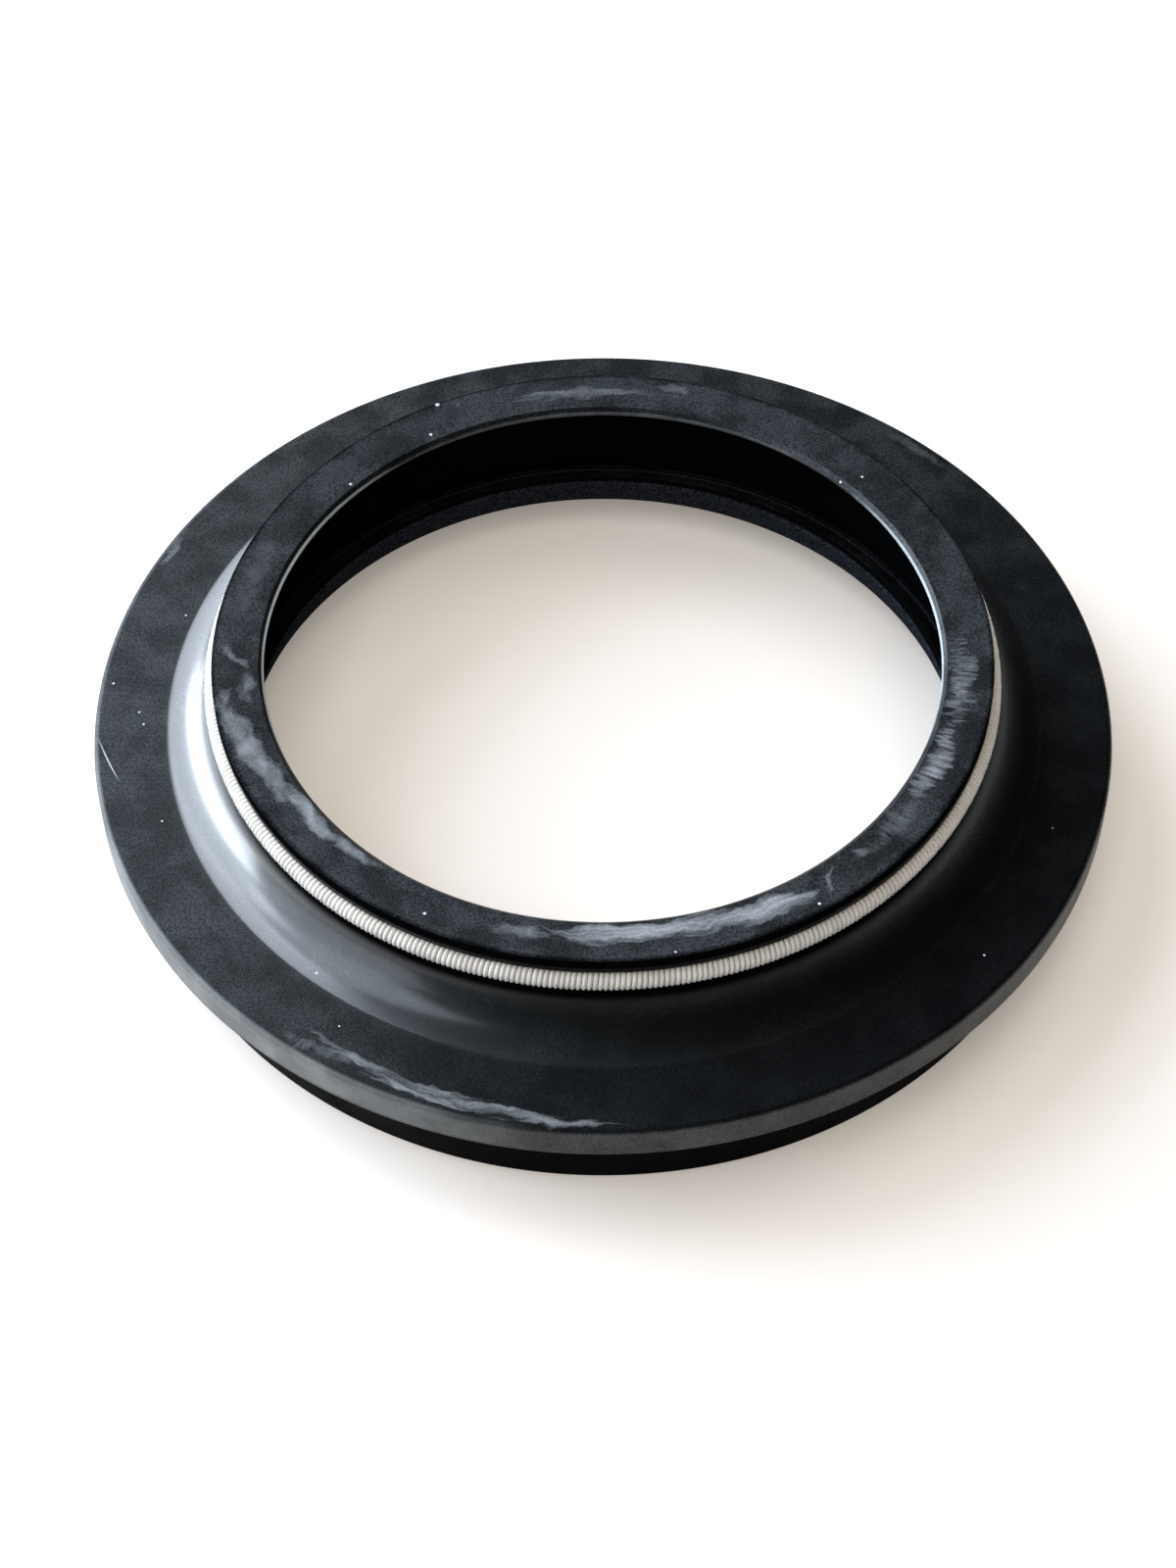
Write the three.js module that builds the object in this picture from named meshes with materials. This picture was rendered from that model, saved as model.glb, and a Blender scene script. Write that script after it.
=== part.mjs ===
// Dust seal of a motorbike's front fork: a rubber moulding with a garter spring round its neck.
// Millimetres, +Z up. The seal's axis is Z and the collar stands on Z = 0.
import * as THREE from 'three';

// Facets round the axis, and round the spring's coil
const facetsAround = 80;
const facetsOfCoil = 12;

// Lip that wipes the fork tube
const forkTubeDiameter = 41;
const lipSqueeze = 0.9;
const lipEdgeRounding = 0.07;
const bevelWidth = 0.42;
const bevelDrop = 0.26;
const creaseWidth = 0.05;
const creaseDepth = 0.1;

// Ring above the spring, which carries the lip
const lipFaceWidth = 2.55;
const lipFaceDrop = 0.15;
const ringHeight = 1;
const ringEdgeRounding = 0.2;

// Garter spring
const coilDiameter = 1.2;
const springInset = 0.04;
const springAboveFlange = 3.6;
const ringClearance = 0.1;

// Wall of the neck and the hollow behind the lip
const hingeWall = 1.35;
const hollowDepth = 2.75;
const hollowRounding = 0.95;
const hollowAboveFlange = 0.4;

// Ledge at the hollow's foot, over the trough behind the inner lip
const ledgeWidth = 0.15;
const ledgeHeight = 0.22;
const troughDepth = 0.42;

// Inner lip on its sleeve
const innerLipStep = 1.4;
const innerLipBelowFlange = 2.7;
const shoulderWidth = 0.22;
const shoulderHeight = 0.52;
const sleeveFlare = 0.7;
const sleeveWall = 1.4;
const sleeveRounding = 0.25;
const sleeveDrop = 2.65;

// Hollow between the sleeve and the collar
const recessWidth = 2;
const recessBelowUnderside = 0.1;

// Collar that is pressed into the fork tube
const collarWall = 2.8;
const collarHeight = 5.7;
const collarLeadInWidth = 0.25;
const collarLeadInHeight = 0.35;
const collarInnerChamfer = 0.25;
const collarRootFillet = 0.3;

// Flange that stays outside the tube
const flangeOverhang = 2.1;
const flangeThickness = 2.2;
const rimTopRounding = 0.3;
const rimBottomRounding = 0.15;

// Sweep from the flange up to the spring
const sweepRadius = 3.7;
const sweepFootAngle = 7;
const sweepTopAngle = 13;
const footToCollar = 2.2;

// Steps of the rounded corners
const smallCornerSteps = 2;
const recessSteps = 6;
const hollowSteps = 3;
const sweepSteps = 6;

// Radii, from the lip outwards
const lipRadius = forkTubeDiameter / 2 - lipSqueeze;
const bevelRadius = lipRadius + bevelWidth;
const ringRadius = bevelRadius + creaseWidth + lipFaceWidth;
const coilRadius = coilDiameter / 2;
const springRadius = ringRadius - springInset;
const innerLipRadius = lipRadius + innerLipStep;
const sleeveInnerRadius = innerLipRadius + sleeveFlare;
const sleeveOuterRadius = sleeveInnerRadius + sleeveWall;
const collarInnerRadius = sleeveOuterRadius + recessWidth;
const collarRadius = collarInnerRadius + collarWall;
const footRadius = collarRadius - footToCollar;
const flangeRadius = collarRadius + flangeOverhang;

// Heights, from the collar's foot upwards
const flangeTop = collarHeight + flangeThickness;
const sleeveBottom = collarHeight - sleeveDrop;
const innerLipHeight = flangeTop - innerLipBelowFlange;
const springHeight = flangeTop + springAboveFlange;
const ringBottom = springHeight + coilRadius + ringClearance;
const ringTop = ringBottom + ringHeight;
const creaseHeight = ringTop - lipFaceDrop;
const bevelHeight = creaseHeight - creaseDepth;
const lipHeight = bevelHeight - bevelDrop;

const rubber = new THREE.MeshStandardMaterial({ color: 0x1c1d20, roughness: 0.6, metalness: 0 });
const springSteel = new THREE.MeshStandardMaterial({ color: 0xcbc6bb, roughness: 0.35, metalness: 1 });

function point(radius, height) {
  return new THREE.Vector2(radius, height);
}

// Points on a circle in the section, from one angle to another, both ends included
function arc(centreRadius, centreHeight, radius, fromDegrees, toDegrees, steps) {
  return Array.from({ length: steps + 1 }, (unused, step) => {
    const angle = THREE.MathUtils.degToRad(THREE.MathUtils.lerp(fromDegrees, toDegrees, step / steps));
    return point(centreRadius + radius * Math.cos(angle), centreHeight + radius * Math.sin(angle));
  });
}

// Wiping edge, then the wall of the hollow behind it
function lipAndHollow() {
  const hingeRadius = springRadius - coilRadius - hingeWall;
  const hollowRadius = lipRadius + hollowDepth;
  return [
    ...arc(lipRadius + lipEdgeRounding, lipHeight, lipEdgeRounding, 122, 219, smallCornerSteps),
    point(hingeRadius, springHeight),
    ...arc(hollowRadius - hollowRounding, flangeTop + hollowAboveFlange, hollowRounding, 32, 0, hollowSteps),
  ];
}

// Foot of the hollow, then over the inner lip's edge
function innerLip() {
  const shoulderTop = innerLipHeight + shoulderHeight;
  const troughRadius = lipRadius + hollowDepth - ledgeWidth;
  const troughHeight = shoulderTop - troughDepth;
  return [
    point(troughRadius + ledgeWidth, troughHeight + ledgeHeight),
    point(troughRadius, troughHeight + ledgeHeight),
    point(troughRadius, troughHeight),
    point(innerLipRadius + shoulderWidth, shoulderTop),
    point(innerLipRadius, innerLipHeight),
  ];
}

// Foot and outside of the sleeve, then over the top of the recess
function sleeveAndRecess() {
  const recessRadius = recessWidth / 2;
  const recessMiddle = sleeveOuterRadius + recessRadius;
  const archHeight = collarHeight - recessBelowUnderside - recessRadius;
  const footHeight = sleeveBottom + sleeveRounding;
  const innerCentre = sleeveInnerRadius + sleeveRounding;
  const outerCentre = sleeveOuterRadius - sleeveRounding;
  return [
    ...arc(innerCentre, footHeight, sleeveRounding, 195, 270, smallCornerSteps),
    ...arc(outerCentre, footHeight, sleeveRounding, 270, 360, smallCornerSteps),
    ...arc(recessMiddle, archHeight, recessRadius, 180, 0, recessSteps),
  ];
}

function collar() {
  return [
    point(collarInnerRadius, collarInnerChamfer),
    point(collarInnerRadius + collarInnerChamfer, 0),
    point(collarRadius - collarLeadInWidth, 0),
    point(collarRadius, collarLeadInHeight),
    point(collarRadius, collarHeight - collarRootFillet),
    point(collarRadius + collarRootFillet, collarHeight),
  ];
}

function flange() {
  const lowerCentre = collarHeight + rimBottomRounding;
  const upperCentre = flangeTop - rimTopRounding;
  return [
    ...arc(flangeRadius - rimBottomRounding, lowerCentre, rimBottomRounding, 270, 360, smallCornerSteps),
    ...arc(flangeRadius - rimTopRounding, upperCentre, rimTopRounding, 0, 90, smallCornerSteps),
  ];
}

// Concave sweep from its foot on the flange up to the spring
function neckSweep() {
  const footAngle = THREE.MathUtils.degToRad(sweepFootAngle);
  const centreRadius = footRadius + sweepRadius * Math.sin(footAngle);
  const centreHeight = flangeTop + sweepRadius * Math.cos(footAngle);
  return arc(centreRadius, centreHeight, sweepRadius, 270 - sweepFootAngle, 180 + sweepTopAngle, sweepSteps);
}

// The spring lies in the groove, so both have the same corners
function springGroove() {
  return arc(springRadius, springHeight, coilRadius, 270, 120, facetsOfCoil * 5 / 12);
}

function lipRing() {
  const edgeCentre = ringRadius - ringEdgeRounding;
  return [
    point(ringRadius, ringBottom),
    ...arc(edgeCentre, ringTop - ringEdgeRounding, ringEdgeRounding, 0, 90, smallCornerSteps),
    point(bevelRadius + creaseWidth, creaseHeight),
    point(bevelRadius, bevelHeight),
  ];
}

function turned(profile, name, material) {
  const closedProfile = [...profile, profile[0].clone()];
  const geometry = new THREE.LatheGeometry(closedProfile, facetsAround);
  geometry.rotateX(Math.PI / 2);
  const mesh = new THREE.Mesh(geometry, material);
  mesh.name = name;
  return mesh;
}

function sealBody() {
  const profile = [
    ...lipAndHollow(),
    ...innerLip(),
    ...sleeveAndRecess(),
    ...collar(),
    ...flange(),
    ...neckSweep(),
    ...springGroove(),
    ...lipRing(),
  ];
  return turned(profile, 'seal_body', rubber);
}

function garterSpring() {
  const section = arc(springRadius, springHeight, coilRadius, -90, 270, facetsOfCoil).slice(0, -1);
  return turned(section, 'garter_spring', springSteel);
}

const group = new THREE.Group();
group.add(sealBody(), garterSpring());
export default group;
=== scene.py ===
# Fork dust seal: the rubber body and its garter spring, finished over the CAD frame
import math
import bpy
from mathutils import Euler, Matrix, Vector


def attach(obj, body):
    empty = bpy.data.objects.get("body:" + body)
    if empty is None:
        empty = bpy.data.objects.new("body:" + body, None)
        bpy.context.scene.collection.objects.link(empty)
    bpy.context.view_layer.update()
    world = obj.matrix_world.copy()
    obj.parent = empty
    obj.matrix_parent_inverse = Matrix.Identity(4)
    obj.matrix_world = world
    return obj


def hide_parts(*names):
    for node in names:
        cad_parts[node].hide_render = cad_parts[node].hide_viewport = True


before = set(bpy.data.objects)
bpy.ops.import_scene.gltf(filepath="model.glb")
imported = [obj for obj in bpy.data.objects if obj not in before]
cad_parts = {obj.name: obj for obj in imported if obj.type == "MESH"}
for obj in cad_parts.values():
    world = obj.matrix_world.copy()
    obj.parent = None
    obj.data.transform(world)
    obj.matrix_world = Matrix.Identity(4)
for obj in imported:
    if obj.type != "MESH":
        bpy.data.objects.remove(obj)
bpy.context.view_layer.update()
mm = 0.001
white = (1, 1, 1, 1)
print("frame loaded")


# adds a node, sets its properties, fills or links its inputs
def addNode(tree, kind, inputs=None, **settings):
    node = tree.nodes.new(kind)
    for key, value in settings.items():
        setattr(node, key, value)
    for key, value in (inputs or {}).items():
        if isinstance(value, bpy.types.NodeSocket):
            tree.links.new(value, node.inputs[key])
        else:
            node.inputs[key].default_value = value
    return node


def calc(tree, operation, *values, clamp=False):
    given = dict(enumerate(values))
    return addNode(tree, "ShaderNodeMath", given, operation=operation, use_clamp=clamp).outputs[0]


# value between low and high becomes 0 to 1
def ramp(tree, value, low, high, toLow=0.0, toHigh=1.0, smooth=True):
    kind = "SMOOTHSTEP" if smooth else "LINEAR"
    given = {0: value, 1: low, 2: high, 3: toLow, 4: toHigh}
    return addNode(tree, "ShaderNodeMapRange", given, interpolation_type=kind).outputs[0]


def mixColour(tree, factor, a, b):
    return addNode(tree, "ShaderNodeMix", {0: factor, 6: a, 7: b}, data_type="RGBA").outputs[2]


def newPieceTree(name, sizes):
    tree = bpy.data.node_groups.new(name, "GeometryNodeTree")
    tree.interface.new_socket("Geometry", in_out="INPUT", socket_type="NodeSocketGeometry")
    for label, (kind, value) in sizes.items():
        socket = tree.interface.new_socket(label, in_out="INPUT", socket_type="NodeSocket" + kind)
        if kind != "Material":
            socket.default_value = value
    tree.interface.new_socket("Geometry", in_out="OUTPUT", socket_type="NodeSocketGeometry")
    return tree, tree.nodes.new("NodeGroupInput").outputs, tree.nodes.new("NodeGroupOutput")


# the end of each piece's tree: smooth shading, real geometry, its material
def finishedTree(tree, result, geometry, material):
    smooth = addNode(tree, "GeometryNodeSetShadeSmooth", {"Geometry": geometry, "Shade Smooth": True})
    real = addNode(tree, "GeometryNodeRealizeInstances", {"Geometry": smooth.outputs[0]})
    painted = addNode(tree, "GeometryNodeSetMaterial", {"Geometry": real.outputs[0], "Material": material})
    tree.links.new(painted.outputs[0], result.inputs[0])
    return tree


# runs a tree on a mesh and keeps the result as a plain mesh object at the origin
def builtPiece(name, startMesh, tree, values):
    source = bpy.data.objects.new(name + "Source", startMesh)
    bpy.context.collection.objects.link(source)
    modifier = source.modifiers.new("build", "NODES")
    modifier.node_group = tree
    for item in tree.interface.items_tree:
        if item.item_type == "SOCKET" and item.in_out == "INPUT" and item.name in values:
            modifier[item.identifier] = values[item.name]
    graph = bpy.context.evaluated_depsgraph_get()
    mesh = bpy.data.meshes.new_from_object(source.evaluated_get(graph))
    mesh.name = name
    if mesh.materials[0] is None:  # the grid brings an empty slot
        mesh.materials.pop(index=0)
    piece = bpy.data.objects.new(name, mesh)
    bpy.context.collection.objects.link(piece)
    bpy.data.objects.remove(source)
    print(name, len(mesh.polygons), "faces")
    return piece


# section of the rubber, mm: radii from the axis, heights from the collar's foot
bodySizes = {
    "lipRadius": 19.6, "lipReach": 0.02, "lipHeight": 12.69, "lipRounding": 0.13,
    "creaseRadius": 19.86, "creaseHeight": 13.04, "creaseDepth": 0.07, "creaseWidth": 0.06,
    "creaseEdge": 0.03, "creaseRounding": 0.02,
    "ringRadius": 22.62, "ringTop": 13.2, "ringBottom": 12.2,
    "ringRounding": 0.12, "ringFootRounding": 0.05,
    "springRadius": 22.58, "springHeight": 11.5,
    "grooveRadius": 0.61, "grooveRounding": 0.03, "grooveFrom": 255, "grooveTo": 120,
    "hingeRadius": 20.63, "hingeRounding": 1.2,
    "hollowRadius": 22.35, "hollowHeight": 8.55, "hollowRounding": 0.9,
    "ledgeHeight": 5.52, "ledgeRounding": 0.03,
    "troughHeight": 5.3, "troughRadius": 22.2, "troughTopRounding": 0.04, "troughRounding": 0.05,
    "shoulderRadius": 21.22, "shoulderHeight": 5.72, "shoulderRounding": 0.07,
    "innerLipRadius": 21.0, "innerLipHeight": 5.2, "innerLipRounding": 0.15,
    "sleeveInner": 21.68, "sleeveOuter": 23.1, "sleeveFoot": 3.05, "sleeveRounding": 0.22,
    "recessOuter": 25.1, "recessTop": 5.6, "recessRounding": 0.99,
    "collarRadius": 27.9, "underside": 5.7, "rootFillet": 0.3,
    "leadInWidth": 0.25, "leadInHeight": 0.35, "leadInRounding": 0.1, "footRounding": 0.08,
    "flangeRadius": 30.0, "flangeTop": 7.9, "rimTopRounding": 0.3, "rimFootRounding": 0.15,
    "sweepFoot": 25.7, "sweepRadius": 3.7, "sweepFootAngle": 7, "sweepTopAngle": 13, "sweepStep": 3.5,
    "arcStep": 15, "supportGap": 0.05, "stepsAround": 384,
}
leastTurn = 0.05  # radians; a corner that turns less stays as it is


def arcPoints(centre, radius, fromAngle, toAngle, step):
    count = max(1, math.ceil(abs(toAngle - fromAngle) / step))
    angles = [math.radians(fromAngle + (toAngle - fromAngle) * i / count) for i in range(count + 1)]
    return [centre + radius * Vector((math.cos(a), math.sin(a))) for a in angles]


# a corner of the section becomes an arc between its two sides
def roundedCorner(before, corner, after, radius, step):
    toBefore = (before - corner).normalized()
    toAfter = (after - corner).normalized()
    turn = math.pi - toBefore.angle(toAfter)
    if radius == 0 or turn < leastTurn:
        return [corner]
    cut = radius * math.tan(turn / 2)
    centre = corner + (toBefore + toAfter).normalized() * radius / math.cos(turn / 2)
    start = corner + toBefore * cut - centre
    end = corner + toAfter * cut - centre
    sweep = (math.atan2(end.y, end.x) - math.atan2(start.y, start.x) + math.pi) % (2 * math.pi) - math.pi
    count = max(2, math.ceil(math.degrees(abs(sweep)) / step))
    return [centre + Matrix.Rotation(sweep * i / count, 2) @ start for i in range(count + 1)]


# from the lip down the bore, round the sleeve, recess and collar, up to the flange's top;
# the lip's corner lies its reach further in, before it is rounded
def lowerCorners(s):
    return [
        (s["lipRadius"] - s["lipReach"], s["lipHeight"], s["lipRounding"]),
        (s["hingeRadius"], s["springHeight"], s["hingeRounding"]),
        (s["hollowRadius"], s["hollowHeight"], s["hollowRounding"]),
        (s["hollowRadius"], s["ledgeHeight"], s["ledgeRounding"]),
        (s["troughRadius"], s["ledgeHeight"], s["troughTopRounding"]),
        (s["troughRadius"], s["troughHeight"], s["troughRounding"]),
        (s["shoulderRadius"], s["shoulderHeight"], s["shoulderRounding"]),
        (s["innerLipRadius"], s["innerLipHeight"], s["innerLipRounding"]),
        (s["sleeveInner"], s["sleeveFoot"], s["sleeveRounding"]),
        (s["sleeveOuter"], s["sleeveFoot"], s["sleeveRounding"]),
        (s["sleeveOuter"], s["recessTop"], s["recessRounding"]),
        (s["recessOuter"], s["recessTop"], s["recessRounding"]),
        (s["recessOuter"], s["leadInWidth"], s["footRounding"]),
        (s["recessOuter"] + s["leadInWidth"], 0, s["footRounding"]),
        (s["collarRadius"] - s["leadInWidth"], 0, s["footRounding"]),
        (s["collarRadius"], s["leadInHeight"], s["leadInRounding"]),
        (s["collarRadius"], s["underside"], s["rootFillet"]),
        (s["flangeRadius"], s["underside"], s["rimFootRounding"]),
        (s["flangeRadius"], s["flangeTop"], s["rimTopRounding"]),
    ]


# the sweep, the spring's groove and the lip ring
def upperCorners(s):
    foot = math.radians(s["sweepFootAngle"])
    centre = Vector((s["sweepFoot"], s["flangeTop"]))
    centre += s["sweepRadius"] * Vector((math.sin(foot), math.cos(foot)))
    angles = (270 - s["sweepFootAngle"], 180 + s["sweepTopAngle"])
    sweep = arcPoints(centre, s["sweepRadius"], *angles, s["sweepStep"])
    groove = Vector((s["springRadius"], s["springHeight"]))
    seat = arcPoints(groove, s["grooveRadius"], s["grooveFrom"], s["grooveTo"], s["arcStep"])
    return [
        *[(*p, 0) for p in sweep],
        (groove.x, groove.y - s["grooveRadius"], s["grooveRounding"]),
        *[(*p, 0) for p in seat],
        (s["ringRadius"], s["ringBottom"], s["ringFootRounding"]),
        (s["ringRadius"], s["ringTop"], s["ringRounding"]),
        (s["creaseRadius"] + s["creaseWidth"], s["creaseHeight"], s["creaseEdge"]),
        (s["creaseRadius"], s["creaseHeight"] - s["creaseDepth"], s["creaseRounding"]),
    ]


def bodySection(s):
    corners = lowerCorners(s) + upperCorners(s)
    spots = [Vector(c[:2]) for c in corners]
    section = []
    for i, corner in enumerate(corners):
        after = spots[(i + 1) % len(spots)]
        section += roundedCorner(spots[i - 1], spots[i], after, corner[2], s["arcStep"])
    return section


# extra points near the ends of long sides keep the flat faces flat in the shading
def withSupport(section, gap):
    out = []
    for a, b in zip(section, section[1:] + section[:1]):
        out.append(a)
        side = b - a
        if side.length > 6 * gap:  # shorter sides need none
            out += [a + side.normalized() * gap, b - side.normalized() * gap]
    return out


# turns the section round the axis on a grid: one column for each of its points
def turnedTree():
    tree, given, result = newPieceTree("turnedSection", {
        "Points": ("Int", 100), "Steps Around": ("Int", 384), "Rubber": ("Material", None)})
    rows = calc(tree, "ADD", given["Steps Around"], 1)
    columns = calc(tree, "ADD", given["Points"], 1)
    grid = addNode(tree, "GeometryNodeMeshGrid", {"Vertices X": columns, "Vertices Y": rows})
    index = addNode(tree, "GeometryNodeInputIndex").outputs[0]
    column = calc(tree, "FLOOR", calc(tree, "DIVIDE", calc(tree, "ADD", index, 0.5), rows))
    row = calc(tree, "SUBTRACT", index, calc(tree, "MULTIPLY", column, rows))
    point = calc(tree, "MODULO", column, given["Points"])
    place = addNode(tree, "GeometryNodeInputPosition").outputs[0]
    taken = addNode(tree, "GeometryNodeSampleIndex", {
        "Geometry": given["Geometry"], "Index": point}, data_type="FLOAT_VECTOR", domain="POINT")
    tree.links.new(place, next(s for s in taken.inputs if s.name == "Value" and s.enabled))
    sectionPoint = next(s for s in taken.outputs if s.enabled)
    angle = calc(tree, "MULTIPLY", calc(tree, "DIVIDE", row, given["Steps Around"]), 2 * math.pi)
    turned = addNode(tree, "ShaderNodeVectorRotate", {
        "Vector": sectionPoint, "Angle": angle}, rotation_type="Z_AXIS")
    placed = addNode(tree, "GeometryNodeSetPosition", {
        "Geometry": grid.outputs["Mesh"], "Position": turned.outputs[0]})
    # a micrometre welds the last row to the first
    closed = addNode(tree, "GeometryNodeMergeByDistance", {
        "Geometry": placed.outputs[0], "Distance": 0.000001})
    outward = addNode(tree, "GeometryNodeFlipFaces", {"Mesh": closed.outputs[0]})
    return finishedTree(tree, result, outward.outputs[0], given["Rubber"])


# garter spring: close turns of thin wire, bent into a ring, mm
springSizes = {
    "ringRadius": bodySizes["springRadius"], "height": bodySizes["springHeight"],
    "coilRadius": 0.6, "wireRadius": 0.147,
    "turns": 482, "stepsPerTurn": 12, "wireSides": 6,
}


def coilTree():
    tree, given, result = newPieceTree("coiledWire", {
        "Ring Radius": ("Float", 0.02), "Height": ("Float", 0.01), "Coil Radius": ("Float", 0.0006),
        "Wire Radius": ("Float", 0.0001), "Turns": ("Int", 482), "Steps Per Turn": ("Int", 12),
        "Wire Sides": ("Int", 6), "Wire": ("Material", None)})
    steps = calc(tree, "MULTIPLY", given["Turns"], given["Steps Per Turn"])
    path = addNode(tree, "GeometryNodeCurvePrimitiveCircle", {"Resolution": steps})
    index = addNode(tree, "GeometryNodeInputIndex").outputs[0]
    share = calc(tree, "DIVIDE", index, steps)
    around = calc(tree, "MULTIPLY", share, 2 * math.pi)
    winding = calc(tree, "MULTIPLY", around, given["Turns"])
    core = calc(tree, "SUBTRACT", given["Coil Radius"], given["Wire Radius"])
    aside = calc(tree, "MULTIPLY", core, calc(tree, "COSINE", winding))
    above = calc(tree, "MULTIPLY", core, calc(tree, "SINE", winding))
    outward = calc(tree, "ADD", given["Ring Radius"], aside)
    upward = calc(tree, "ADD", given["Height"], above)
    place = addNode(tree, "ShaderNodeCombineXYZ", {
        0: calc(tree, "MULTIPLY", outward, calc(tree, "COSINE", around)),
        1: calc(tree, "MULTIPLY", outward, calc(tree, "SINE", around)), 2: upward})
    bent = addNode(tree, "GeometryNodeSetPosition", {
        "Geometry": path.outputs[0], "Position": place.outputs[0]})
    wire = addNode(tree, "GeometryNodeCurvePrimitiveCircle", {
        "Resolution": given["Wire Sides"], "Radius": given["Wire Radius"]})
    tube = addNode(tree, "GeometryNodeCurveToMesh", {
        "Curve": bent.outputs[0], "Profile Curve": wire.outputs[0]})
    return finishedTree(tree, result, tube.outputs[0], given["Wire"])


# sizes in mm, sides in degrees round the axis; the skin is the smooth surface over the rubber
rubberLook = {
    # the bloom colour on the flange is partly painted sheen, thickest on the lit side; the rim's pale
    # colour and the sleeve's colour are painted sheen; the speck colour also paints a highlight along the
    # lip's edge
    "black": (0.0022, 0.0024, 0.0029, 1), "bloomAndSheen": (0.0155, 0.017, 0.0175, 1),
    "lipBloom": (0.023, 0.0258, 0.0305, 1), "rimSheen": (0.2, 0.21, 0.21, 1),
    "sleeve": (0.04, 0.046, 0.06, 1), "powder": (0.43, 0.475, 0.52, 1), "speckAndHighlight": (0.74, 0.82, 0.88, 1),
    "roughness": 0.46, "bloomRoughness": 0.06, "powderRoughness": 0.3,
    "gloss": 0.46, "rimGloss": 0.4, "flangeShade": 0.5, "tint": (0.86, 0.95, 1.0, 1),
    "flangeSkin": 0.18, "sweepSkin": 1.0, "dullSkin": 0.12, "skinRoughness": 0.2, "skinIor": 1.85,
    "grainSize": 0.13, "mottleSize": 2.4, "litSide": 125, "rimSheenSide": 222,
    "relief": 0.6, "sweepRelief": 0.12, "reliefDepth": 0.03, "speckRelief": 2.0,
}

# where each part of the seal begins and where it is whole in the material, mm
zoneEdges = {
    "lip": (12.2, 12.6), "bore": (22.8, 22.5), "sleeve": (5.45, 5.3), "sweep": (26.4, 25.6),
    "rim": (29.7, 29.9), "ringEdge": (22.3, 22.5), "neck": (9.3, 10.2), "collar": (5.9, 5.65),
}
collarDullness = 0.96

# heights of the faces that carry powder and marks, and of the lip's edge, which carries a painted
# highlight, mm
lipTop = 13.1
lipEdge = 12.78
flangeTop = bodySizes["flangeTop"]

# what a smear has where it states nothing else
usualSmear = {"slant": 0, "height": lipTop, "broken": 0.5, "strength": 0.75, "stroke": "cloud"}

# powder left on the rubber, placed round the axis: degrees and mm; slant is degrees for each mm outwards
smears = {
    "leftCloud": {"angle": 201, "halfAngle": 12, "radius": 21.4, "halfWidth": 1.4, "slant": -8,
                  "broken": 0.7},
    "leftTail": {"angle": 219, "halfAngle": 19, "radius": 20.45, "halfWidth": 0.65, "slant": -6,
                 "broken": 0.7},
    "leftFleck": {"angle": 182, "halfAngle": 1.6, "radius": 21.3, "halfWidth": 1.1, "slant": -3,
                  "strength": 0.35},
    "leftDab": {"angle": 188, "halfAngle": 3.8, "radius": 20.7, "halfWidth": 0.7, "broken": 0.8,
                "strength": 0.35},
    "leftVeil": {"angle": 165, "halfAngle": 14, "radius": 21.4, "halfWidth": 1.0, "broken": 0.9,
                 "strength": 0.12},
    "frontStart": {"angle": 258, "halfAngle": 7, "radius": 21.0, "halfWidth": 0.6, "slant": 4,
                   "broken": 0.9, "strength": 0.35},
    "frontMain": {"angle": 277, "halfAngle": 19, "radius": 20.7, "halfWidth": 1.0, "broken": 0.65,
                  "stroke": "along", "strength": 1.0},
    "frontEnd": {"angle": 293, "halfAngle": 13, "radius": 20.95, "halfWidth": 1.15, "slant": 5,
                 "broken": 0.65, "stroke": "along", "strength": 1.0},
    "frontStroke": {"angle": 306, "halfAngle": 0.8, "radius": 21.1, "halfWidth": 1.0, "slant": -2.2,
                    "strength": 0.35},
    "frontTick": {"angle": 313, "halfAngle": 1.6, "radius": 20.75, "halfWidth": 0.6, "slant": 4,
                  "strength": 0.3},
    "rightVeil": {"angle": 321, "halfAngle": 11, "radius": 20.9, "halfWidth": 0.95, "broken": 1.0,
                  "strength": 0.22, "stroke": "across"},
    "rightStrokes": {"angle": 335, "halfAngle": 12, "radius": 20.8, "halfWidth": 1.0, "broken": 0.9,
                     "stroke": "across", "strength": 0.85},
    "rightCloud": {"angle": 352, "halfAngle": 15, "radius": 20.9, "halfWidth": 1.3, "broken": 1.1,
                   "stroke": "across", "strength": 0.55},
    "backStreak": {"angle": 94, "halfAngle": 20, "radius": 21.2, "halfWidth": 0.6, "broken": 0.9,
                   "stroke": "along", "strength": 0.35},
    "backDab": {"angle": 78.5, "halfAngle": 3.4, "radius": 21.7, "halfWidth": 0.4, "slant": 3,
                "strength": 0.25},
    "rimStrand": {"angle": 244, "halfAngle": 12, "radius": 28.6, "halfWidth": 0.6, "slant": 9,
                  "broken": 1.0, "stroke": "along", "height": flangeTop},
    "rimWash": {"angle": 253, "halfAngle": 17, "radius": 29.05, "halfWidth": 0.85, "slant": 7,
                "broken": 1.0, "stroke": "along", "height": flangeTop},
    "rimEnd": {"angle": 264, "halfAngle": 9, "radius": 29.35, "halfWidth": 0.5, "slant": 8,
               "broken": 0.8, "stroke": "along", "height": flangeTop},
    "rimDashes": {"angle": 238, "halfAngle": 5, "radius": 29.1, "halfWidth": 0.8, "slant": -5,
                  "broken": 0.9, "stroke": "across", "strength": 0.3, "height": flangeTop},
    "backRim": {"angle": 47, "halfAngle": 6, "radius": 29.2, "halfWidth": 0.5, "slant": 3,
                "stroke": "across", "strength": 0.12, "height": flangeTop},
    "leftRim": {"angle": 154, "halfAngle": 3.5, "radius": 29.6, "halfWidth": 0.3, "strength": 0.35,
                "height": flangeTop},
}
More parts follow.
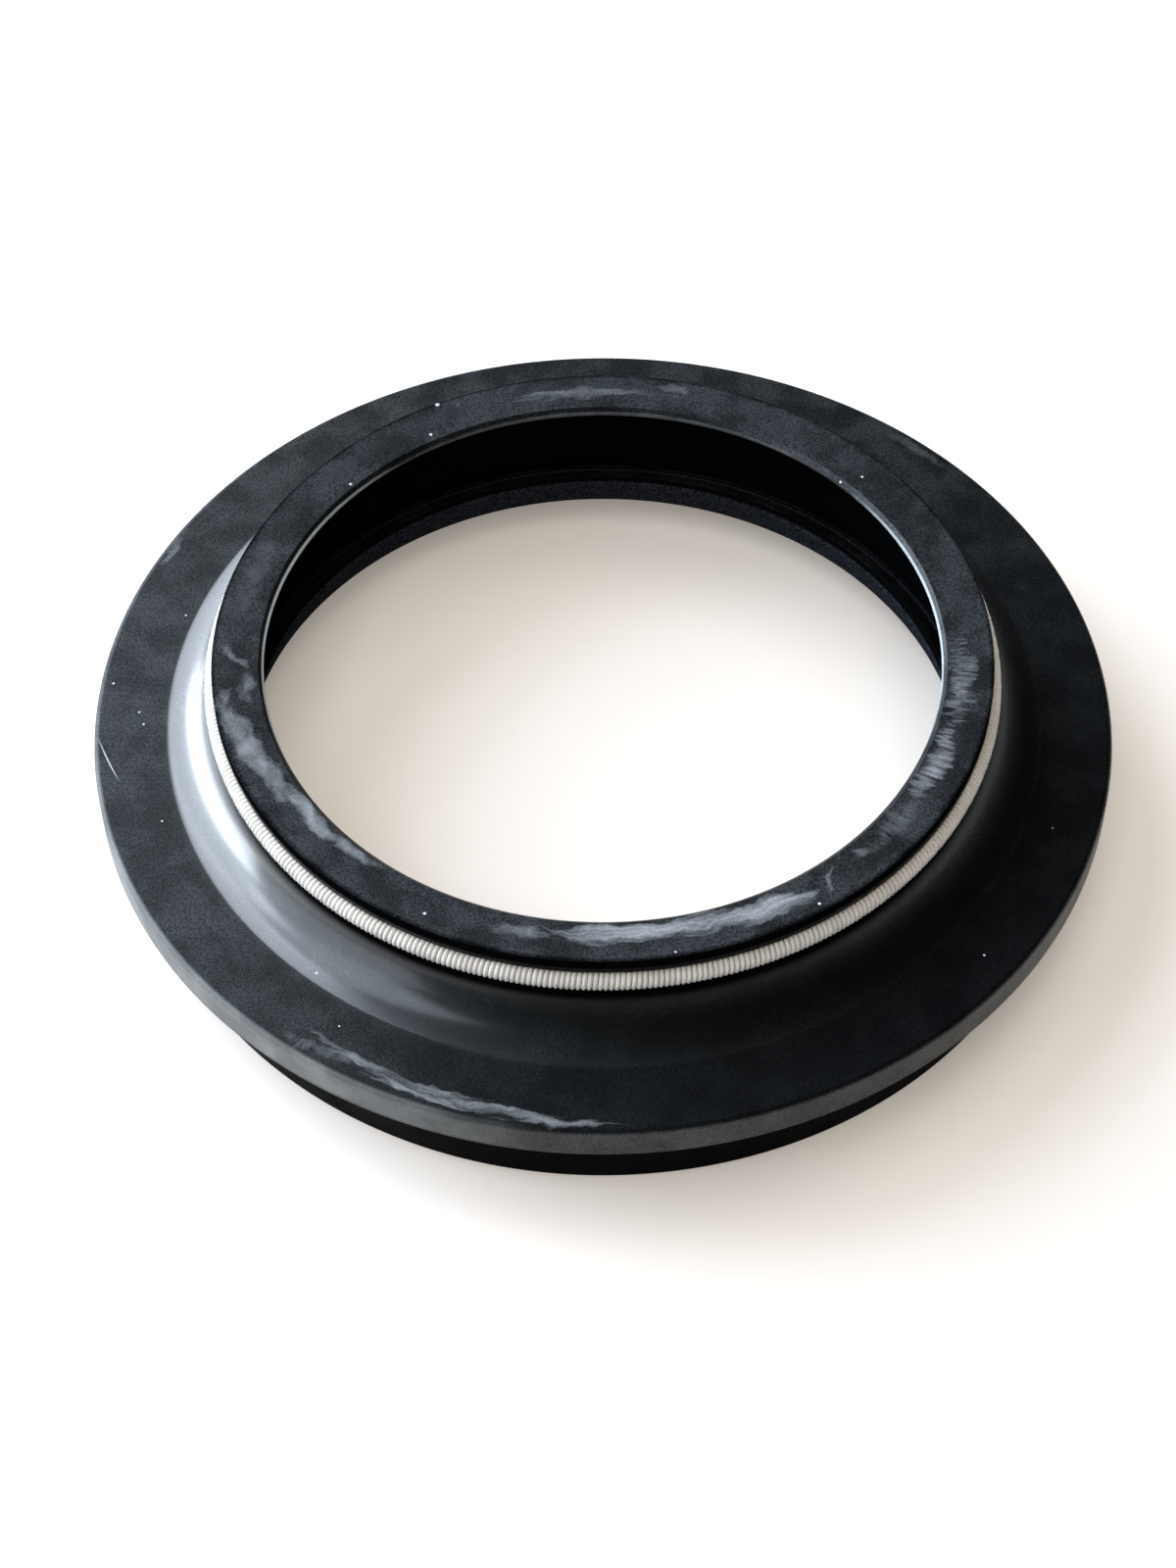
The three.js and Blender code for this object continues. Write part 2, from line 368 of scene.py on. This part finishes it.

# fine marks with straight outlines: a scratch on the flange, and a painted highlight along the lip's inner
# edge
fineMarksAndHighlights = {
    "scratch": {"angle": 188.2, "halfAngle": 0.36, "radius": 29.2, "halfWidth": 0.6, "slant": -6.3,
                "height": flangeTop, "broken": 0.1, "strength": 0.9},
    "leftEdgeHighlight": {"angle": 172, "halfAngle": 46, "radius": 19.66, "halfWidth": 0.11, "height": lipEdge,
                 "broken": 0.15, "strength": 1.0},
    "rightEdgeHighlight": {"angle": 8, "halfAngle": 36, "radius": 19.66, "halfWidth": 0.1, "height": lipEdge,
                  "broken": 0.25, "strength": 0.8},
    "backEdgeHighlight": {"angle": 90, "halfAngle": 60, "radius": 19.66, "halfWidth": 0.08, "height": lipEdge,
                 "broken": 0.5, "strength": 0.12},
}

# single specks of dust, and a bright spot on the ring's outer edge at 117 degrees: degrees, radius, height
# and size in mm
specks = [
    (41, 20.9, lipTop, 0.09), (117, 22.45, 13.15, 0.15), (121, 20.4, lipTop, 0.11),
    (139, 20.2, lipTop, 0.11), (243.5, 21.6, lipTop, 0.11), (280, 22.3, 13.15, 0.08),
    (302, 22.1, 13.15, 0.1), (114, 21.9, lipTop, 0.07), (176.5, 29.2, flangeTop, 0.08),
    (181, 27.4, flangeTop, 0.07), (183, 27.1, flangeTop, 0.08), (199, 26.8, flangeTop, 0.07),
    (319, 28, flangeTop, 0.08), (43, 19.75, 12.9, 0.09), (164, 26.3, flangeTop, 0.07),
    (231, 25.2, 8.05, 0.1), (213, 24.6, 8.4, 0.09), (238, 27.2, flangeTop, 0.06),
    (340, 27.4, flangeTop, 0.05),
]


# mask of one smear: an oval round the axis with gaps in it
def smearGroup():
    tree = bpy.data.node_groups.new("smear", "ShaderNodeTree")
    for label in ("Degrees", "Distance", "Rise", "Gaps", "Angle", "Half Angle", "Radius", "Half Width",
                  "Slant", "Height", "Broken", "Strength"):
        tree.interface.new_socket(label, in_out="INPUT", socket_type="NodeSocketFloat")
    tree.interface.new_socket("Mask", in_out="OUTPUT", socket_type="NodeSocketFloat")
    given, result = tree.nodes.new("NodeGroupInput").outputs, tree.nodes.new("NodeGroupOutput")
    outward = calc(tree, "SUBTRACT", given["Distance"], given["Radius"])
    turned = calc(tree, "WRAP", calc(tree, "SUBTRACT", given["Degrees"], given["Angle"]), 180.0, -180.0)
    around = calc(tree, "SUBTRACT", turned, calc(tree, "MULTIPLY", given["Slant"], outward))
    far = calc(tree, "DIVIDE", around, given["Half Angle"])
    wide = calc(tree, "DIVIDE", outward, given["Half Width"])
    reach = calc(tree, "ADD", calc(tree, "MULTIPLY", far, far), calc(tree, "MULTIPLY", wide, wide))
    inside = calc(tree, "SUBTRACT", 1.0, reach, clamp=True)
    kept = calc(tree, "SUBTRACT", inside, calc(tree, "MULTIPLY", given["Broken"], given["Gaps"]))
    offLevel = calc(tree, "ABSOLUTE", calc(tree, "SUBTRACT", given["Rise"], given["Height"]))
    level = ramp(tree, offLevel, 0.5, 0.25)
    shown = calc(tree, "MULTIPLY", ramp(tree, kept, 0.0, 0.95, smooth=False), given["Strength"])
    tree.links.new(calc(tree, "MULTIPLY", shown, level), result.inputs[0])
    return tree


def smearMask(tree, group, polar, gaps, sizes):
    s = {**usualSmear, **sizes}
    given = {
        **polar, "Gaps": gaps[s["stroke"]], "Angle": s["angle"], "Half Angle": s["halfAngle"],
        "Radius": s["radius"], "Half Width": s["halfWidth"], "Slant": s["slant"], "Height": s["height"],
        "Broken": s["broken"], "Strength": s["strength"]}
    return addNode(tree, "ShaderNodeGroup", given, node_tree=group).outputs[0]


def speckMask(tree, place, degrees, radius, height, size):
    a = math.radians(degrees)
    spot = Vector((radius * math.cos(a), radius * math.sin(a), height)) * mm
    away = addNode(tree, "ShaderNodeVectorMath", {0: place, 1: spot}, operation="DISTANCE")
    return ramp(tree, away.outputs["Value"], size * mm * 1.15, size * mm * 0.6)  # a soft edge


def largest(tree, masks):
    total = masks[0]
    for mask in masks[1:]:
        total = calc(tree, "MAXIMUM", total, mask)
    return total


# how far the powder's noise is drawn out round the axis and across it, mm
strokeSizes = {"cloud": (1.7, 0.9), "along": (2.6, 0.3), "across": (0.3, 1.4)}


# the outlines wander with a slow noise; a higher gapsFrom leaves more gaps; radius and width in mm
powderLook = {
    "arcRadius": 22.0, "wanderScale": 0.7, "wanderDegrees": 7.0, "wanderWidth": 1.3,
    "gapsFrom": 0.74, "gapsTo": 0.32, "detail": 5.0, "roughness": 0.58, "distortion": 0.5,
}


# where a spot lies round the axis: degrees from 60 to 420, distance and height in mm
def roundAxis(tree, place):
    inMm = addNode(tree, "ShaderNodeVectorMath", {0: place, "Scale": 1 / mm}, operation="SCALE").outputs[0]
    x, y, z = addNode(tree, "ShaderNodeSeparateXYZ", {0: inMm}).outputs
    squares = calc(tree, "ADD", calc(tree, "MULTIPLY", x, x), calc(tree, "MULTIPLY", y, y))
    degrees = calc(tree, "WRAP", calc(tree, "DEGREES", calc(tree, "ARCTAN2", y, x)), 420.0, 60.0)
    return {"Degrees": degrees, "Distance": calc(tree, "SQRT", squares), "Rise": z}


def moved(tree, value, noise, amount):
    return calc(tree, "ADD", value, calc(tree, "MULTIPLY", calc(tree, "SUBTRACT", noise, 0.5), amount))


# all smears together, and all fine marks with the painted highlight on the lip's edge, which keep their
# outlines
def powderAndHighlightMasks(tree, look, polar):
    arc = calc(tree, "MULTIPLY", calc(tree, "RADIANS", polar["Degrees"]), look["arcRadius"])
    slow = addNode(tree, "ShaderNodeCombineXYZ", {0: arc, 1: polar["Distance"]})
    wander = addNode(tree, "ShaderNodeTexNoise", {
        "Vector": slow.outputs[0], "Scale": look["wanderScale"], "Detail": 4.0})
    drift = addNode(tree, "ShaderNodeSeparateXYZ", {0: wander.outputs["Color"]}).outputs
    turned = moved(tree, polar["Degrees"], drift[0], look["wanderDegrees"])
    shifted = moved(tree, polar["Distance"], drift[1], look["wanderWidth"])
    gaps = {}
    for name, (along, across) in strokeSizes.items():
        drawn = addNode(tree, "ShaderNodeCombineXYZ", {
            0: calc(tree, "DIVIDE", arc, along), 1: calc(tree, "DIVIDE", shifted, across)})
        noise = addNode(tree, "ShaderNodeTexNoise", {
            "Vector": drawn.outputs[0], "Scale": 1.0, "Detail": look["detail"],
            "Roughness": look["roughness"], "Distortion": look["distortion"]})
        gaps[name] = ramp(tree, noise.outputs[0], look["gapsFrom"], look["gapsTo"], smooth=False)
    wandering = {"Degrees": turned, "Distance": shifted, "Rise": polar["Rise"]}
    group = smearGroup()
    masks = [smearMask(tree, group, wandering, gaps, s) for s in smears.values()]
    marksAndHighlights = [smearMask(tree, group, polar, gaps, s) for s in fineMarksAndHighlights.values()]
    return largest(tree, masks), largest(tree, marksAndHighlights)


# the parts of the seal: lip, sleeve, sweep, rim, and all that is dull
def rubberZones(tree, polar):
    distance, rise = polar["Distance"], polar["Rise"]
    lip = ramp(tree, rise, *zoneEdges["lip"])
    offLip = calc(tree, "SUBTRACT", 1.0, lip)
    inside = calc(tree, "MULTIPLY", ramp(tree, distance, *zoneEdges["bore"]), offLip)
    ringEdge = calc(tree, "MULTIPLY", ramp(tree, distance, *zoneEdges["ringEdge"]), lip)
    underSpring = calc(tree, "MULTIPLY", ramp(tree, rise, *zoneEdges["neck"]), offLip)
    collar = ramp(tree, rise, *zoneEdges["collar"], 0.0, collarDullness)
    return {
        "lip": lip,
        "sleeve": calc(tree, "MULTIPLY", ramp(tree, rise, *zoneEdges["sleeve"]), inside),
        "sweep": calc(tree, "MULTIPLY", ramp(tree, distance, *zoneEdges["sweep"]), offLip),
        "rim": ramp(tree, distance, *zoneEdges["rim"]),
        "dull": largest(tree, [inside, collar, ringEdge, underSpring]),
    }


# 1 on the side at that angle, -1 on the opposite side
def towards(tree, polar, side):
    return calc(tree, "COSINE", calc(tree, "RADIANS", calc(tree, "SUBTRACT", polar["Degrees"], side)))


# bloom and painted sheen: a grey veil on what faces up, whole on the lip; on the flange, painted sheen
# makes it thickest at the back, a little to the left, where the lamps light it
def bloomAndSheenMask(tree, zones, fromBack, mottle):
    normal = addNode(tree, "ShaderNodeNewGeometry").outputs["Normal"]
    upward = addNode(tree, "ShaderNodeSeparateXYZ", {0: normal}).outputs[2]
    veil = calc(tree, "MAXIMUM", zones["lip"], ramp(tree, fromBack, -0.7, 0.4, 0.05, 1.0))
    patchy = calc(tree, "MULTIPLY", veil, ramp(tree, mottle, 0.36, 0.66, 0.25, 1.25))
    return calc(tree, "MULTIPLY", ramp(tree, upward, 0.5, 0.95), patchy)


# painted reflection of the pale floor: the rim is paler at the front left
def rimSheenMask(tree, zones, fromLeft, rise, mottle):
    veil = calc(tree, "MULTIPLY", zones["rim"], ramp(tree, fromLeft, 0.72, 1.0))
    veil = calc(tree, "MULTIPLY", veil, ramp(tree, rise, 5.7, 6.1))
    return calc(tree, "MULTIPLY", veil, ramp(tree, mottle, 0.3, 0.75, 0.6, 1.0))


def rubberColour(tree, look, zones, masks, grain):
    # bloom, and painted sheen on the flange's lit side
    veil = calc(tree, "MULTIPLY", masks["bloomAndSheen"], ramp(tree, grain, 0.3, 0.7, 0.1, 1.4))
    bloomAndSheen = mixColour(tree, zones["lip"], look["bloomAndSheen"], look["lipBloom"])
    colour = mixColour(tree, veil, look["black"], bloomAndSheen)
    # painted reflection of the pale floor on the rim's front left
    colour = mixColour(tree, masks["rim"], colour, look["rimSheen"])
    # painted sheen: the sleeve band inside the bore is paler, in place of its gloss
    sleeve = calc(tree, "MULTIPLY", zones["sleeve"], ramp(tree, grain, 0.3, 0.7))
    colour = mixColour(tree, sleeve, colour, look["sleeve"])
    thin = calc(tree, "MULTIPLY", masks["powder"], ramp(tree, grain, 0.25, 0.65, 0.75, 1.0))
    colour = mixColour(tree, thin, colour, look["powder"])
    # specks of dust and the scratch, and a painted highlight along the lip's inner edge
    return mixColour(tree, masks["dustAndHighlights"], colour, look["speckAndHighlight"])


# gloss: none inside and under the spring, hardly any on the collar, less on the flange's front right
def rubberGloss(tree, look, zones, fromBack, grain, mottle):
    uneven = calc(tree, "MULTIPLY", ramp(tree, grain, 0.3, 0.7, 0.6, 1.4),
                  ramp(tree, mottle, 0.36, 0.66, 0.78, 1.22))
    uneven = calc(tree, "MAXIMUM", zones["sweep"], uneven)
    shade = ramp(tree, fromBack, -0.85, -0.2, look["flangeShade"], 1.0)
    shade = largest(tree, [zones["lip"], zones["rim"], zones["sweep"], shade])
    gloss = ramp(tree, zones["rim"], 0.0, 1.0, look["gloss"], look["rimGloss"])
    gloss = calc(tree, "MULTIPLY", calc(tree, "MULTIPLY", gloss, shade), uneven)
    return calc(tree, "MULTIPLY", gloss, calc(tree, "SUBTRACT", 1.0, zones["dull"]))


# skin: whole on the sweep's left side, thin elsewhere, none on the lip and rim or under powder
def rubberSkin(tree, look, zones, degrees, cover):
    left = calc(tree, "MULTIPLY", ramp(tree, degrees, 100.0, 140.0), ramp(tree, degrees, 285.0, 225.0))
    skin = ramp(tree, zones["sweep"], 0.0, 1.0, look["flangeSkin"], look["sweepSkin"])
    skin = calc(tree, "MULTIPLY", skin, ramp(tree, left, 0.0, 1.0, look["dullSkin"], 1.0))
    bare = largest(tree, [zones["dull"], zones["lip"], cover, zones["rim"]])
    return calc(tree, "MULTIPLY", skin, calc(tree, "SUBTRACT", 1.0, bare))


def rubberRelief(tree, look, zones, grain, dustAndHighlights):
    relief = calc(tree, "ADD", grain, calc(tree, "MULTIPLY", dustAndHighlights, look["speckRelief"]))
    depth = ramp(tree, zones["sweep"], 0.0, 1.0, look["relief"], look["sweepRelief"])
    return addNode(tree, "ShaderNodeBump", {
        "Height": relief, "Strength": depth, "Distance": look["reliefDepth"] * mm}).outputs[0]


def noiseOf(tree, place, size, detail):
    given = {"Vector": place, "Scale": 1 / (size * mm), "Detail": detail}
    return addNode(tree, "ShaderNodeTexNoise", given).outputs[0]


def rubberMaterial(look):
    material = bpy.data.materials.new("blackRubber")
    material.use_nodes = True
    tree = material.node_tree
    shader = tree.nodes["Principled BSDF"].inputs
    place = addNode(tree, "ShaderNodeTexCoord").outputs["Object"]
    polar = roundAxis(tree, place)
    grain = noiseOf(tree, place, look["grainSize"], 2.0)
    mottle = noiseOf(tree, place, look["mottleSize"], 4.0)
    zones = rubberZones(tree, polar)
    fromBack = towards(tree, polar, look["litSide"])
    fromLeft = towards(tree, polar, look["rimSheenSide"])
    powder, marksAndHighlights = powderAndHighlightMasks(tree, powderLook, polar)
    # dust, the scratch and the painted highlight on the lip's edge
    dustAndHighlights = largest(tree, [marksAndHighlights] + [speckMask(tree, place, *s) for s in specks])
    cover = calc(tree, "MAXIMUM", powder, dustAndHighlights)
    # bloom, with painted sheen on the flange's lit side
    bloomAndSheen = bloomAndSheenMask(tree, zones, fromBack, mottle)
    # the rim's painted reflection of the pale floor
    rim = rimSheenMask(tree, zones, fromLeft, polar["Rise"], mottle)
    masks = {"bloomAndSheen": bloomAndSheen, "rim": rim, "powder": powder, "dustAndHighlights": dustAndHighlights}
    tree.links.new(rubberColour(tree, look, zones, masks, grain), shader["Base Color"])
    rough = calc(tree, "ADD", look["roughness"], calc(tree, "MULTIPLY", bloomAndSheen, look["bloomRoughness"]))
    rough = calc(tree, "ADD", rough, calc(tree, "MULTIPLY", cover, look["powderRoughness"]))
    tree.links.new(rough, shader["Roughness"])
    gloss = rubberGloss(tree, look, zones, fromBack, grain, mottle)
    tree.links.new(gloss, shader["Specular IOR Level"])
    tree.links.new(rubberSkin(tree, look, zones, polar["Degrees"], cover), shader["Coat Weight"])
    tree.links.new(rubberRelief(tree, look, zones, grain, dustAndHighlights), shader["Normal"])
    shader["Specular Tint"].default_value = look["tint"]
    shader["Coat Roughness"].default_value = look["skinRoughness"]
    shader["Coat IOR"].default_value = look["skinIor"]
    return material


wireLook = {
    "steel": (0.9, 0.89, 0.85, 1), "dull": (0.78, 0.755, 0.71, 1), "metal": 0.12,
    "roughness": 0.5, "fineRoughness": 0.12, "patchScale": 700.0, "fineScale": 9000.0,
}


def wireMaterial(look):
    material = bpy.data.materials.new("springSteel")
    material.use_nodes = True
    tree = material.node_tree
    shader = tree.nodes["Principled BSDF"].inputs
    place = addNode(tree, "ShaderNodeTexCoord").outputs["Object"]
    patches = addNode(tree, "ShaderNodeTexNoise", {
        "Vector": place, "Scale": look["patchScale"], "Detail": 4.0})
    fine = addNode(tree, "ShaderNodeTexNoise", {"Vector": place, "Scale": look["fineScale"], "Detail": 2.0})
    colour = mixColour(tree, ramp(tree, patches.outputs[0], 0.35, 0.75), look["steel"], look["dull"])
    tree.links.new(colour, shader["Base Color"])
    shader["Metallic"].default_value = look["metal"]
    added = calc(tree, "MULTIPLY", fine.outputs[0], look["fineRoughness"])
    tree.links.new(calc(tree, "ADD", look["roughness"], added), shader["Roughness"])
    return material


def makeBody():
    section = withSupport(bodySection(bodySizes), bodySizes["supportGap"])
    start = bpy.data.meshes.new("bodySection")
    start.from_pydata([(p.x * mm, 0, p.y * mm) for p in section], [], [])
    body = builtPiece("rubberBody", start, turnedTree(), {
        "Points": len(section), "Steps Around": bodySizes["stepsAround"],
        "Rubber": rubberMaterial(rubberLook)})
    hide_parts("seal_body")
    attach(body, "root")


def makeSpring():
    s = springSizes
    spring = builtPiece("springWire", bpy.data.meshes.new("springStart"), coilTree(), {
        "Ring Radius": s["ringRadius"] * mm, "Height": s["height"] * mm,
        "Coil Radius": s["coilRadius"] * mm, "Wire Radius": s["wireRadius"] * mm,
        "Turns": s["turns"], "Steps Per Turn": s["stepsPerTurn"], "Wire Sides": s["wireSides"],
        "Wire": wireMaterial(wireLook)})
    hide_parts("garter_spring")
    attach(spring, "root")


# floor and sky, metres: the paper is a little brighter where it is looked at, and white far away
stageLook = {
    "floorColour": (0.9, 0.895, 0.885, 1), "floorGlow": 0.28, "glowColour": (1.0, 0.91, 0.8, 1),
    "floorRoughness": 0.8, "floorGloss": 0.1, "floorHalf": 30, "nearFloor": 0.12, "farFloor": 0.5,
    "skyColour": (0.01, 0.01, 0.01, 1), "bandFoot": 0.05, "bandTop": 0.08,
}


# 1 where the camera, a reflection or glass shows the surface
def lookedAt(tree):
    path = addNode(tree, "ShaderNodeLightPath").outputs
    return largest(tree, [path["Is Camera Ray"], path["Is Glossy Ray"], path["Is Transmission Ray"]])


def makeFloor(look):
    mesh = bpy.data.meshes.new("floor")
    half = look["floorHalf"]
    corners = [(-half, -half, 0), (half, -half, 0), (half, half, 0), (-half, half, 0)]
    mesh.from_pydata(corners, [], [(0, 1, 2, 3)])
    floor = bpy.data.objects.new("floor", mesh)
    bpy.context.collection.objects.link(floor)
    material = bpy.data.materials.new("paleFloor")
    material.use_nodes = True
    tree = material.node_tree
    shader = tree.nodes["Principled BSDF"].inputs
    shader["Base Color"].default_value = look["floorColour"]
    shader["Roughness"].default_value = look["floorRoughness"]
    shader["Specular IOR Level"].default_value = look["floorGloss"]
    place = addNode(tree, "ShaderNodeTexCoord").outputs["Object"]
    away = addNode(tree, "ShaderNodeVectorMath", {0: place}, operation="LENGTH").outputs["Value"]
    far = ramp(tree, away, look["nearFloor"], look["farFloor"])
    glow = ramp(tree, far, 0.0, 1.0, look["floorGlow"], 1.0, smooth=False)
    tree.links.new(mixColour(tree, far, look["glowColour"], white), shader["Emission Color"])
    tree.links.new(calc(tree, "MULTIPLY", lookedAt(tree), glow), shader["Emission Strength"])
    mesh.materials.append(material)


# dark, but for a narrow white band over the horizon that carries the floor on
def makeSky(look):
    world = bpy.data.worlds.new("studio")
    bpy.context.scene.world = world
    world.use_nodes = True
    tree = world.node_tree
    direction = addNode(tree, "ShaderNodeTexCoord").outputs["Generated"]
    height = addNode(tree, "ShaderNodeSeparateXYZ", {0: direction}).outputs[2]
    inBand = ramp(tree, height, look["bandTop"], look["bandFoot"])
    band = calc(tree, "MULTIPLY", lookedAt(tree), inBand)
    colour = mixColour(tree, band, look["skyColour"], white)
    tree.links.new(colour, tree.nodes["Background"].inputs["Color"])


# size in mm, power in watts; the fills light the paper and leave no reflection on the rubber
coolWhite = (0.89, 0.98, 1.1)
warmWhite = (1.1, 0.99, 0.88)
lampAim = (0, 0, 8)
lamps = {
    "window": {"place": (-362, 253, 235), "size": (577, 376), "power": 2.6},
    "windowSill": {"place": (-359, 146, 88), "aim": (0, 0, 20), "size": (310, 172), "power": 1.2},
    "skylight": {"place": (-225, 167, 423), "size": (250, 190), "power": 0.55},
    "sideWindow": {"place": (-323, -87, 372), "size": (364, 268), "power": 0.5},
    "sideSill": {"place": (-426, -199, 171), "size": (364, 231), "power": 0.3},
    "frontFill": {"place": (-25, -281, 530), "size": (300, 300), "power": 0.95, "fill": True},
    "topFill": {"place": (60, 60, 560), "size": (300, 300), "power": 0.6, "fill": True},
}


def makeLamps(choices):
    for name, c in choices.items():
        fill = c.get("fill", False)
        light = bpy.data.lights.new(name, "AREA")
        light.shape = "RECTANGLE"
        light.size, light.size_y = c["size"][0] * mm, c["size"][1] * mm
        light.energy = c["power"]
        light.color = warmWhite if fill else coolWhite
        lamp = bpy.data.objects.new(name, light)
        bpy.context.collection.objects.link(lamp)
        place = Vector(c["place"]) * mm
        aim = Vector(c.get("aim", lampAim)) * mm
        lamp.location = place
        lamp.rotation_euler = (aim - place).to_track_quat("-Z", "Y").to_euler()
        lamp.visible_glossy = not fill


# the photograph's own view: 3200 pixels of focal length on a frame 1200 wide; mm and degrees
cameraView = {"place": (0, -121.07, 148.71), "turn": (39.244, 0.293, 0.071), "lens": 96, "sensor": 36}


def makeCamera(view):
    data = bpy.data.cameras.new("camera")
    data.sensor_fit = "HORIZONTAL"
    data.sensor_width = view["sensor"]
    data.lens = view["lens"]
    data.clip_start = mm
    camera = bpy.data.objects.new("camera", data)
    bpy.context.collection.objects.link(camera)
    camera.location = Vector(view["place"]) * mm
    camera.rotation_euler = Euler([math.radians(a) for a in view["turn"]])
    bpy.context.scene.camera = camera


makeCamera(cameraView)
makeFloor(stageLook)
makeSky(stageLook)
makeLamps(lamps)
print("stage ready")
makeBody()
makeSpring()
bpy.context.scene.view_settings.view_transform = "Standard"
